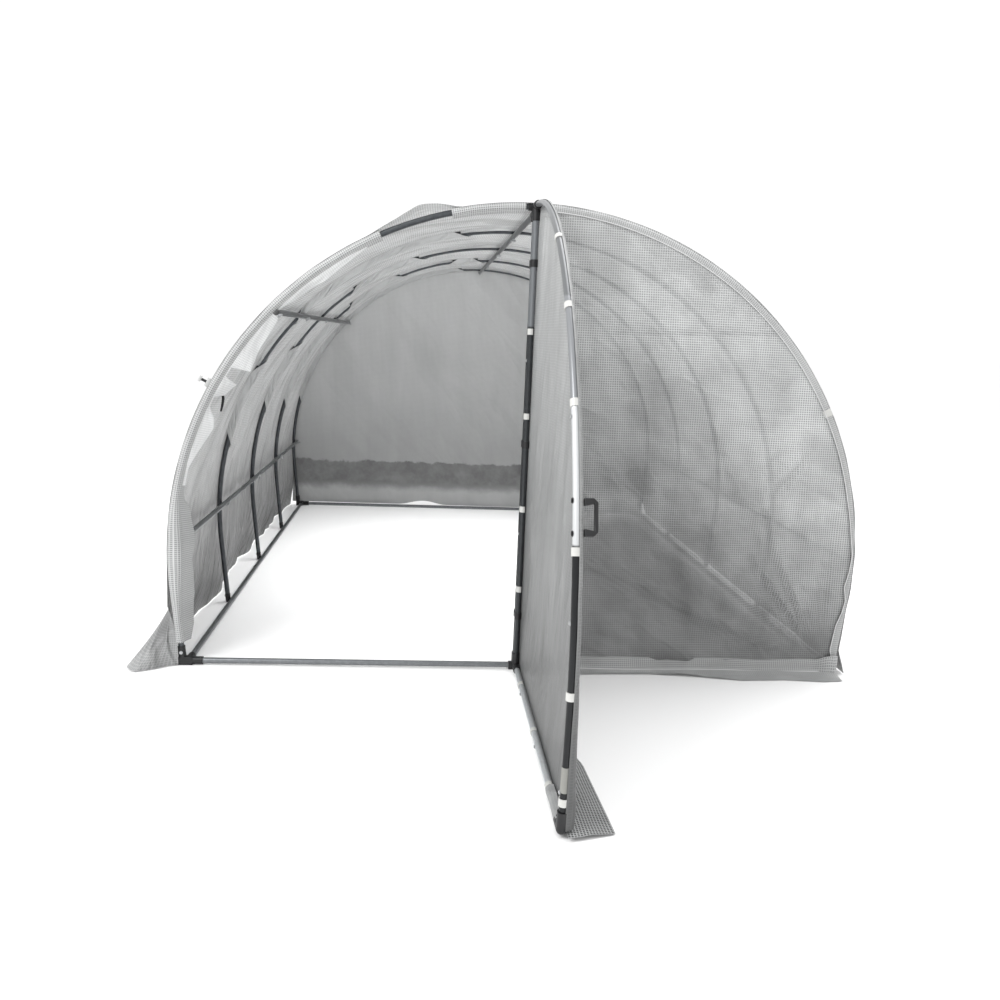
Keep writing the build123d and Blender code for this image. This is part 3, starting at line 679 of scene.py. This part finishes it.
# A round cord along a line of places
def makeBead(name, points, radius, material):
    bpy.ops.object.select_all(action="DESELECT")
    bpy.ops.curve.primitive_bezier_curve_add(location=(0, 0, 0))
    bead = bpy.context.object
    bead.name = name
    bead.data.splines.clear()
    spline = bead.data.splines.new("POLY")
    spline.points.add(len(points) - 1)
    for place, point in zip(spline.points, points):
        place.co = (*point, 1)
    bead.data.bevel_depth = radius
    bead.data.bevel_resolution = 2
    bead.data.use_fill_caps = True
    bpy.ops.object.convert(target="MESH")
    bead.data.name = name
    bpy.ops.object.shade_smooth()
    paint(bead, material)
    return bead


weltPoints = []
for step in range(261):
    angle = angleAt(hemStart + (hemEnd - hemStart) * step / 260)
    weltPoints.append(archPoint(angle, archRadius, rightHem["section"][-1][1]) + outwardAt(angle) * rightHemEdge(angle))
foot = {"weltZ": 0.014, "weltY": panelY - 0.0078, "from": 0.022, "rimRadius": 0.0021, "footRadius": 0.0026}
footPoints = []
for step in range(81):
    x = foot["from"] + (weltPoints[0].x - foot["from"]) * step / 80
    footPoints.append(Vector((x, foot["weltY"] - 0.002 * math.sin(x * 5), foot["weltZ"] + 0.004 * noiseAt(x * 3, 0, 6.0))))
welts = joinPieces([makeBead("rimWelt", weltPoints, foot["rimRadius"], pipingVinyl),
                    makeBead("footWelt", footPoints, foot["footRadius"], pipingVinyl)], "panelWelts")
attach(welts, "frame")
print("hems and welts made")

# End sheets have a round top, so each row is as wide as the arch is at its height.
# Fan rows are height, corner, count, seed and reach.
frontSheet = {"bottom": 0.010, "mainFold": [(0.018, 128, 0.17, 1.3, 5.0)],
              "folds": [(0.009, 112, 0.07, 6.6, 6.0), (0.006, 20, 0.09, 2.9, 3.0)],
              "fans": [(0.040, (1.38, 0.06), 7.0, 4.4, 1.25), (0.018, (1.38, 0.06), 17.0, 14.2, 1.0),
                       (0.020, (1.34, 1.15), 9.0, 8.8, 0.7)]}
panelTop = archHeight + archOuter - 0.004


def roundTop(bottom, v):  # rows close up towards the top, where the arch is flat
    return bottom + (panelTop - bottom) * math.sin(v * math.pi / 2)


def panelFlat(u, v):
    z = roundTop(frontSheet["bottom"], v)
    return u * (archHalf(z, archOuter) - 0.003), z


def panelShape(x, z):
    edge = archHalf(z, archOuter) - x
    held = smooth01(edge, 0.01, 0.22) * smooth01(x, 0.0, 0.2) * (0.1 + 0.9 * smooth01(z, 0.03, 0.25))
    folds = foldSum(frontSheet["mainFold"], x, z) * (1.25 - 0.4 * z) + foldSum(frontSheet["folds"], x, z)
    return Vector((x, panelY + held * (folds + foldSum(frontSheet["fans"], x, z, fanFolds)), z))


frontPanel = makeSheet("frontPanel", 110, 120, panelFlat, panelShape, panelFilm)
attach(frontPanel, "frame")
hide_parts("front_panel")

frontHem = {"from": 0.022, "to": 1.462, "reach": 0.12, "upstand": 0.055, "corner": (1.365, 1.425), "wrap": 0.024,
            "rise": 0.012, "edge": [(0.0, 0.055), (0.12, 0.062), (0.35, 0.045), (0.6, 0.035), (0.8, 0.065),
                                    (1.0, 0.105), (1.2, 0.09), (1.43, 0.115), (1.47, 0.09)]}
frontHemWide = frontHem["reach"] + frontHem["upstand"]


def frontHemShape(x, across):
    t = (across - frontHem["upstand"]) / frontHem["reach"]
    corner = smooth01(x, *frontHem["corner"])  # here the hem is bunched round the foot
    front = panelY - 0.0042 - corner * (frontHem["wrap"] + 0.010 * noiseAt(x * 55, across * 45, 4.0))
    if t < 0:
        rise = -t * frontHem["reach"] * (1 + 0.22 * noiseAt(x * 5, 0.0, 12.0) + 0.5 * corner)
        return Vector((x, front + 0.0008 * noiseAt(x * 20, across * 30, 1.0), frontHem["rise"] + rise))
    y = front - readOff(frontHem["edge"], x) * t * (1 - 0.3 * corner)
    ripple = noiseAt(x * 6, t * 1.2, 3.0)
    z = frontHem["rise"] * (1 - smooth01(t, 0.0, 0.5)) + 0.003
    return Vector((x, y, z + max(0.018 * t * ripple, 0.0) * smooth01(x, 0.1, 0.4)))


frontHemSheet = makeSheet("frontHemSheet", 90, 10, strip(frontHem["from"], frontHem["to"], frontHemWide),
                          frontHemShape, hemFilm)
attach(frontHemSheet, "frame")
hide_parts("front_skirt")

wall = {"bottom": 0.03, "broad": [(0.010, 70, 0.35, 2.2, 3.0)], "low": [(0.012, 4, 0.10, 7.7, 3.0)],
        "lift": 0.032, "liftAt": (-0.62, -0.2)}


def wallFlat(u, v):
    z = roundTop(wall["bottom"], v)
    half = archHalf(z, archOuter) - 0.003
    left = archOuter - 0.004 if z < archHeight else half
    return -left + u * (left + half), z


def wallShape(x, z):
    y = (wallLow.y + wallHigh.y) / 2 + 0.004
    held = smooth01(archHalf(z, archOuter) - abs(x), 0.0, 0.25)
    y -= held * (foldSum(wall["broad"], x, z) + bump01(z, 0.02, 0.5) * foldSum(wall["low"], x, z))
    lift = wall["lift"] * bump01(x, *wall["liftAt"]) * (1 - smooth01(z, 0.03, 0.25))
    return Vector((x, y, z + lift))


backWall = makeSheet("backWall", 120, 90, wallFlat, wallShape, wallFilm)
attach(backWall, "frame")
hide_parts("back_wall", "back_skirt")
print("end sheets made")

# Film sleeves welded under the roof carry the inner hoops; between them the tubes show bare
sleeve = {"section": [(0.0125, -0.042), (-0.004, -0.0215), (-0.0135, -0.0125), (-0.0175, 0.0), (-0.0135, 0.0125),
                      (-0.004, 0.0215), (0.0125, 0.042)],
          "lip": [(0.0125, -0.042), (0.0050, -0.0250), (0.0012, -0.0160), (0.0010, -0.0140)],
          "spans": {1: [(148.0, 166.6), (99.0, 138.2)], 2: [(144.0, 162.6), (107.5, 127.5)],
                    3: [(134.4, 164.8), (113.2, 132.0), (91.4, 101.3)], 4: [(94.3, 166.4)]},
          "slant": 6.0, "column": 0.03, "lipFrom": 70.0, "lap": 1.5, "lipShare": 0.4}
sleeves, sleeveLength = [], 0.0


def addSleeve(hoopIndex, section, low, high, slant):
    runs = sectionRuns(section)
    length = runAt(high - low)

    def sleeveShape(along, across):
        t = along / length
        out, y = sectionPoint(section, runs, across)
        angle = low + (high - low) * t + slant * (2 * t - 1) * (across / runs[-1] - 0.5)
        pinch = 0.0015 * noiseAt(along * 14, across * 20, hoopIndex * 3.0)
        return archPoint(angle, archRadius, hoopIndex * bay + y) + outwardAt(angle) * (out + pinch)

    sleeves.append(makeSheet("hoopSleeve", max(int(length / sleeve["column"]), 4), 6, strip(0.0, length, runs[-1]),
                             sleeveShape, sleeveFilm))
    return length


# A narrow lip of film runs beside the tube where it shows bare, up to the next sleeve
for hoopIndex, spans in sleeve["spans"].items():
    bareFrom = sleeve["lipFrom"]
    for low, high in sorted(spans):
        sleeveLength += addSleeve(hoopIndex, sleeve["section"], low, high, sleeve["slant"])
        lipLength = addSleeve(hoopIndex, sleeve["lip"], bareFrom - sleeve["lap"], low + sleeve["lap"], 0.0)
        sleeveLength += lipLength * sleeve["lipShare"]
        bareFrom = high
hoopSleeves = joinPieces(sleeves, "hoopSleeves")
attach(hoopSleeves, "frame")
print("hoop sleeves made")

# The door leaf's film, on its outer side
leaf = {"filmOut": 0.0138, "bottom": 0.012, "slack": 0.012, "folds": (86, 0.16, 3.3, 5.0),
        "fine": [(0.006, 75, 0.06, 8.1, 6.0)]}


def leafFlat(u, v):
    z = roundTop(leaf["bottom"], v)
    return u * archHalf(z, archOuter), z


def leafShape(along, z):
    edge = archHalf(z, archOuter) - along
    held = smooth01(edge, 0.0, 0.2) * smooth01(along, 0.0, 0.15) * smooth01(z, 0.035, 0.30)
    outward = leaf["filmOut"] + leaf["slack"] * held * (0.6 + ridges(along, z, *leaf["folds"]))
    return leafPoint(along, outward + held * foldSum(leaf["fine"], along, z), z)


leafFilm = makeSheet("leafFilm", 90, 110, leafFlat, leafShape, leafSkin)
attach(leafFilm, "door_leaf")
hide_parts("door_film")

# Its edge rolls round the outside of the rim and stands off more towards the ground
leafHem = {"section": [(-0.050, 0.0150), (-0.020, 0.0175), (0.004, 0.0180), (0.0110, 0.0160), (0.0138, 0.0110),
                       (0.0140, 0.0060)],
           "slack": [(92, 0.0), (165, 0.0), (178, 0.003), (186, 0.010), (193, 0.018), (196, 0.024), (198, 0.022)],
           "top": 92.0}
leafHemRuns = sectionRuns(leafHem["section"])


def leafHemShape(along, across):
    angle = angleAt(along)
    out, outward = sectionPoint(leafHem["section"], leafHemRuns, across)
    t = across / leafHemRuns[-1]
    outward += readOff(leafHem["slack"], angle) * math.sin(math.pi * t)
    outward += 0.0012 * noiseAt(along * 10, across * 15, 7.0)
    return onLeaf(archPoint(angle, archRadius, -outward) + outwardAt(angle) * out)


rimStart, rimEnd = runAt(leafHem["top"]), runAt(legAt(leafRailZ))
leafRimHem = makeSheet("leafRimHem", 220, 10, strip(rimStart, rimEnd, leafHemRuns[-1]), leafHemShape, leafSkin)
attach(leafRimHem, "door_leaf")

# Past the last clip the film wraps the bottom rail. Corners are distances out from the leaf
# and up from the rail.
leafFoot = {"section": [(0.0150, 0.040), (0.0180, 0.0), (0.0140, -0.0130), (0.0, -0.0182), (-0.0135, -0.0120),
                        (-0.0165, 0.0020), (-0.0130, 0.0130), (-0.0020, 0.0175), (0.0100, 0.0200)],
            "from": 1.192, "to": 1.405}
leafFootRuns = sectionRuns(leafFoot["section"])
leafFootLong = leafFoot["to"] - leafFoot["from"]


def leafFootShape(along, across):
    outward, rise = sectionPoint(leafFoot["section"], leafFootRuns, across)
    wrinkle = 1 + 0.10 * noiseAt(along * 22, across * 30, 1.0)
    return leafPoint(leafFoot["from"] + along, outward * wrinkle, leafRailZ + rise * wrinkle)


leafFootWrap = makeSheet("leafFootWrap", 28, 16, strip(0.0, leafFootLong, leafFootRuns[-1]), leafFootShape, wrapFilm)
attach(leafFootWrap, "door_leaf")

# The loose corner of netting that lies on the ground under the leaf's outer corner
flap = {"end": 1.482, "outward": 0.016, "wide": 0.16, "long": 0.78,
        "edge": [(0.0, 0.030), (0.15, 0.095), (0.35, 0.128), (1.0, 0.150)]}


def flapShape(a, b):
    u, v = a / flap["wide"], b / flap["long"]
    along = flap["end"] - flap["long"] * (1 - v) - 0.046 * u * v
    z = 0.005 + 0.011 * (1 - u) ** 3 + 0.006 * math.sin(math.pi * u) * (1 + noiseAt(u * 3, v * 5, 2.0))
    return leafPoint(along, flap["outward"] + readOff(flap["edge"], v) * u, z)


cornerNet = makeSheet("cornerNet", 24, 30, strip(0.0, flap["wide"], flap["long"]), flapShape, netFilm)
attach(cornerNet, "door_leaf")
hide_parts("door_flap")
print("door film made")


def standing(place, axis, turn=0.0):
    upright = Vector(axis).to_track_quat("Z", "Y").to_matrix().to_4x4()
    return Matrix.Translation(place) @ upright @ Matrix.Rotation(turn, 4, "Z")


def shadeByAngle():
    bpy.ops.object.shade_smooth_by_angle(angle=math.radians(35))


# A copy of a frame piece with its seams closed and its edges rounded
def roundedCopy(nodeName, name, width, material):
    bpy.ops.object.select_all(action="DESELECT")
    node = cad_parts[nodeName]
    piece = node.copy()
    piece.data = node.data.copy()
    bpy.context.scene.collection.objects.link(piece)
    piece.name = name
    piece.data.name = name
    piece.select_set(True)
    bpy.context.view_layer.objects.active = piece
    bpy.ops.object.mode_set(mode="EDIT")
    bpy.ops.mesh.select_all(action="SELECT")
    bpy.ops.mesh.remove_doubles(threshold=0.00002)
    bpy.ops.mesh.dissolve_limited(angle_limit=math.radians(4))
    bpy.ops.object.mode_set(mode="OBJECT")
    bevel = piece.modifiers.new("rounding", "BEVEL")
    bevel.width = width
    bevel.segments = 3
    bevel.limit_method = "ANGLE"
    bevel.angle_limit = math.radians(25)
    bpy.ops.object.modifier_apply(modifier=bevel.name)
    shadeByAngle()
    paint(piece, material)
    return piece


doorPull = roundedCopy("door_handle", "doorPull", 0.0022, blackPlastic)
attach(doorPull, "door_leaf")
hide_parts("door_handle")

# One clip sits over the hem on the panel side: a wider copy of the clip under it
hemClip = {"angle": 27.5, "grow": 1.9, "lengthen": 1.25, "cutBeyond": 0.06, "rounding": 0.0006}
clipOverHem = roundedCopy("front_clips", "clipOverHem", hemClip["rounding"], whitePlastic)
clipCentre = archPoint(hemClip["angle"], archRadius, 0)
bpy.ops.object.mode_set(mode="EDIT")
bpy.ops.mesh.select_all(action="DESELECT")
bpy.ops.object.mode_set(mode="OBJECT")
for vertex in clipOverHem.data.vertices:
    vertex.select = (vertex.co - clipCentre).length > hemClip["cutBeyond"]
bpy.ops.object.mode_set(mode="EDIT")
bpy.ops.mesh.delete(type="VERT")
bpy.ops.object.mode_set(mode="OBJECT")
outward = outwardAt(hemClip["angle"])
alongTube = outward.cross(Vector((0, 1, 0)))
for vertex in clipOverHem.data.vertices:
    offset = vertex.co - clipCentre
    grown = outward * offset.dot(outward) + Vector((0, offset.y, 0))
    lengthened = alongTube * offset.dot(alongTube) * hemClip["lengthen"]
    vertex.co = clipCentre + grown * hemClip["grow"] + lengthened
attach(clipOverHem, "frame")

# A blank strip of paper tape is wrapped round the rim low down
tape = {"low": 0.150, "high": 0.233, "radius": tubeRadius + 0.0007}


def tapeShape(around, along):
    turn = around / tape["radius"]
    out = tape["radius"] + 0.0004 * noiseAt(turn * 2, along * 40, 3.0)
    angle = legAt(tape["high"]) + angleAt(along)
    return onLeaf(archPoint(angle, archRadius + out * math.cos(turn), out * math.sin(turn)))


tapeRound, tapeLong = 2 * math.pi * tape["radius"], runAt(legAt(tape["low"]) - legAt(tape["high"]))
rimTape = makeSheet("rimTape", 28, 8, strip(0.0, tapeRound, tapeLong), tapeShape, paperTape)
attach(rimTape, "door_leaf")

# A short black strap hangs off the cover's inner side
strap = {"angle": 153.6, "y": 0.27, "length": 0.082, "width": 0.020, "inward": 0.014, "sewn": 1.4}
strapRun = skirtDrop + hangDrop + coverRadius * math.radians(180 - strap["angle"])
strapTop = coverShape(strapRun, strap["y"]) - outwardAt(strap["angle"]) * strap["inward"]


def strapShape(across, along):
    t = along / strap["length"]
    side = (across - strap["width"] / 2) * (1 - 0.35 * t * t)
    return strapTop + Vector((0.005 * smooth01(t, 0.0, 0.3) + 0.75 * side - 0.012 * t * t, -0.65 * side, -along))


strapTab = makeSheet("strapTab", 3, 16, strip(0.0, strap["width"], strap["length"]), strapShape, webbing)
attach(strapTab, "frame")


# A primitive with its size and turn applied. Rounding is a width and a number of segments.
def addPart(operator, material, rounding=None, scale=(1, 1, 1), turn=0.0, **settings):
    bpy.ops.object.select_all(action="DESELECT")
    operator(**settings)
    part = bpy.context.object
    part.scale = scale
    part.rotation_euler = (0, turn, 0)
    bpy.ops.object.transform_apply(location=True, rotation=True, scale=True)
    if rounding:
        bpy.ops.object.mode_set(mode="EDIT")
        bpy.ops.mesh.select_all(action="SELECT")
        bpy.ops.mesh.bevel(offset=rounding[0], segments=rounding[1])
        bpy.ops.object.mode_set(mode="OBJECT")
    paint(part, material)
    return part


def addBlock(size, place, material, rounding, turn=0.0):
    return addPart(bpy.ops.mesh.primitive_cube_add, material, rounding, size, turn, size=1, location=place)


def addRod(radius, length, z, sides, material, rounding=None):
    return addPart(bpy.ops.mesh.primitive_cylinder_add, material, rounding, vertices=sides, radius=radius,
                   depth=length, location=(0, 0, z))


# The latch on the open side's edge: a moulded body, a waisted pin and a knob
latchLook = {"at": 151.6, "out": 0.005, "front": -0.008, "lean": -0.25, "grow": 1.3, "body": (0.022, 0.030, 0.012),
             "bodyUp": 0.004, "pin": (0.0045, 0.020, 0.018), "knob": (0.0105, 0.009, 0.031)}


def makeLatch(name, look, place, axis):
    body = addBlock(look["body"], (0, 0, look["bodyUp"]), greyPlastic, (0.003, 3))
    pin = addRod(*look["pin"], 16, blackPlastic)
    knob = addRod(*look["knob"], 16, greyPlastic, (0.0025, 3))
    latch = joinPieces([body, pin, knob], name)
    latch.data.transform(standing(place, axis) @ Matrix.Scale(look["grow"], 4))
    shadeByAngle()
    return latch


# Small fasteners are modelled once along +Z with the seat at the origin, then copied into place
def makeHexBolt(name, look, material):
    thick = look["washer"][1]
    washer = addRod(look["washer"][0], thick, thick / 2, 16, material)
    head = addRod(look["head"], look["rise"], thick + look["rise"] / 2, 6, material, (look["head"] * 0.14, 2))
    return joinPieces([head, washer], name)


nutLook = {"wing": (0.010, 0.0024, 0.0095), "aside": 0.0085, "up": 0.008, "splay": 24,
           "stud": (0.0029, 0.013, 0.0065)}


def makeWingNut(name, look, material):
    parts = [addPart(bpy.ops.mesh.primitive_cone_add, material, vertices=14, radius1=0.0058, radius2=0.0044,
                     depth=0.007, location=(0, 0, 0.0035))]
    for side in (-1, 1):
        parts.append(addBlock(look["wing"], (side * look["aside"], 0, look["up"]), material, (0.0010, 2),
                              -side * math.radians(look["splay"])))
    parts.append(addRod(*look["stud"], 12, material))
    return joinPieces(parts, name)


def placeCopies(model, places, name):
    copies = []
    for place in places:
        copy = model.copy()
        copy.data = model.data.copy()
        copy.data.transform(place)
        bpy.context.scene.collection.objects.link(copy)
        copies.append(copy)
    joined = joinPieces(copies, name)
    shadeByAngle()
    return joined


latchPlace = archPoint(latchLook["at"], archOuter + latchLook["out"], latchLook["front"])
latchAxis = outwardAt(latchLook["at"]) + Vector((0, latchLook["lean"], 0))
latch = makeLatch("edgeLatch", latchLook, latchPlace, latchAxis)
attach(latch, "frame")

# Moulded caps close the feet of the inner hoops
cap = {"radius": 0.0137, "low": 0.0015, "high": 0.046, "lift": 0.0012, "rounding": (0.0012, 2)}
caps = []
for side in (-1, 1):
    for hoopIndex in (1, 2, 3):
        footCap = addRod(cap["radius"], cap["high"] - cap["low"], 0, 24, blackPlastic, cap["rounding"])
        middle = (cap["low"] + cap["high"]) / 2
        place = (side * archHalf(middle, archRadius), hoopIndex * bay, middle + cap["lift"])
        footCap.data.transform(Matrix.Translation(place) @ Matrix.Rotation(legLean * side, 4, "Y"))
        caps.append(footCap)
footCaps = joinPieces(caps, "footCaps")
shadeByAngle()
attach(footCaps, "frame")

# Wing nuts where the purlins cross the hoops; the front hoop's ridge and lower crossings have none
purlinRadius = archRadius - 2 * tubeRadius - 0.0003
crossing = {"upper": 44.0, "lowerZ": 0.530, "sunk": 0.0004, "endShift": 0.004}
lowerAngle = math.degrees(math.asin((crossing["lowerZ"] - archHeight) / purlinRadius))
wingNut = makeWingNut("wingNut", nutLook, brightSteel)
nutPlaces = []
for hoopIndex in range(5):
    for angle in (crossing["upper"], 180 - crossing["upper"], lowerAngle, 180 - lowerAngle, 90):
        if hoopIndex == 0 and angle in (90, 180 - lowerAngle, lowerAngle):
            continue
        shift = {0: 1, 4: -1}.get(hoopIndex, 0) * crossing["endShift"]
        place = archPoint(angle, purlinRadius - tubeRadius + crossing["sunk"], hoopIndex * bay + shift)
        nutPlaces.append(standing(place, -outwardAt(angle), hoopIndex * 0.7 + angle))
wingNuts = placeCopies(wingNut, nutPlaces, "wingNuts")
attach(wingNuts, "frame")
bpy.data.objects.remove(wingNut)

# Bolt heads: through the legs into the base rails, through the fittings and on the post
bolt = {"proud": 0.0166, "footZ": 0.055, "postLow": 0.060, "postTop": 0.045, "railUp": 0.004, "sunk": 0.0004}
hexBolt = makeHexBolt("hexBolt", {"head": 0.0056, "rise": 0.0036, "washer": (0.0075, 0.0012)}, brightSteel)
boltPlaces = []
for side in (-1, 1):
    for hoopIndex in (1, 2, 3):
        x = side * (archHalf(baseHigh.z, archRadius) + tubeRadius - bolt["sunk"])
        place = (x, hoopIndex * bay, baseHigh.z + bolt["railUp"])
        boltPlaces.append(standing(place, (side, 0, 0.1), 0.4 * hoopIndex))
    footAngle = legAt(bolt["footZ"]) if side < 0 else 180 - legAt(bolt["footZ"])
    for y, facing in ((0, -1), (tunnelLength, 1)):
        place = archPoint(footAngle, archRadius, y + facing * bolt["proud"])
        boltPlaces.append(standing(place, (0, facing, 0), 0.3))
for z, turn in ((bolt["postLow"], 0.2), (archHeight + archRadius - bolt["postTop"], 0.9)):
    boltPlaces.append(standing((0, -bolt["proud"], z), (0, -1, 0), turn))
frameBolts = placeCopies(hexBolt, boltPlaces, "frameBolts")
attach(frameBolts, "frame")

# Screws at the joints of the leaf's tubes and the pull's nuts, on the leaf's inner side
tubeJoint = {"rim": [150.5, 173.6, 193.6], "rail": [0.345, 0.86], "stile": [0.62, 1.36]}
innerSide = -tubeRadius + 0.0003
screwPlaces = []
for angle in tubeJoint["rim"]:
    place = onLeaf(archPoint(angle, archRadius, 0)) + Vector((innerSide, 0, 0))
    screwPlaces.append(standing(place, (-1, 0, 0), angle))
for along in tubeJoint["rail"]:
    screwPlaces.append(standing(leafPoint(along, innerSide, leafRailZ), (-1, 0, 0), along * 9))
for z in tubeJoint["stile"]:
    screwPlaces.append(standing(leafPoint(0, innerSide, z), (-1, 0, 0), z))
leafScrews = placeCopies(hexBolt, screwPlaces, "leafScrews")
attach(leafScrews, "door_leaf")
pullNut = {"head": 0.0075, "rise": 0.0030, "washer": (0.0095, 0.0012), "apart": 0.045}
pullLow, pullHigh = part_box("door_handle")
pullMiddle = (pullLow.z + pullHigh.z) / 2
darkNut = makeHexBolt("darkNut", pullNut, blackPlastic)
nutPlaces = []
for z in (pullMiddle - pullNut["apart"], pullMiddle + pullNut["apart"]):
    nutPlaces.append(standing(leafPoint(archHalf(z, archRadius), innerSide, z), (-1, 0, 0), 0.3))
pullNuts = placeCopies(darkNut, nutPlaces, "pullNuts")
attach(pullNuts, "door_leaf")
bpy.data.objects.remove(hexBolt)
bpy.data.objects.remove(darkNut)
print("fasteners made")

# CAD pieces keep their shape and get their finish here
# The left base rail and left lower purlin get the painted-light copy and the right ones the darker copy; the leaf's
# bottom rail gets the palest, painted light
finishes = {"door_rim": rimSteel, "base_rail": litSteel, "base_rail_right": steel, "lower_purlin": litSteel,
            "lower_purlin_right": steel, "ridge_": steel, "hoop_": steel, "upper_purlin": steel, "centre_post": postSteel,
            "door_stile": postSteel, "door_bottom_rail": paintedLightSteel}
for nodeName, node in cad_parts.items():
    finish = whitePlastic if nodeName.endswith("_clips") else blackPlastic
    for start, material in finishes.items():
        if nodeName.startswith(start) and not nodeName.endswith("_clips"):
            finish = material
    paint(node, finish)
print("frame finished")
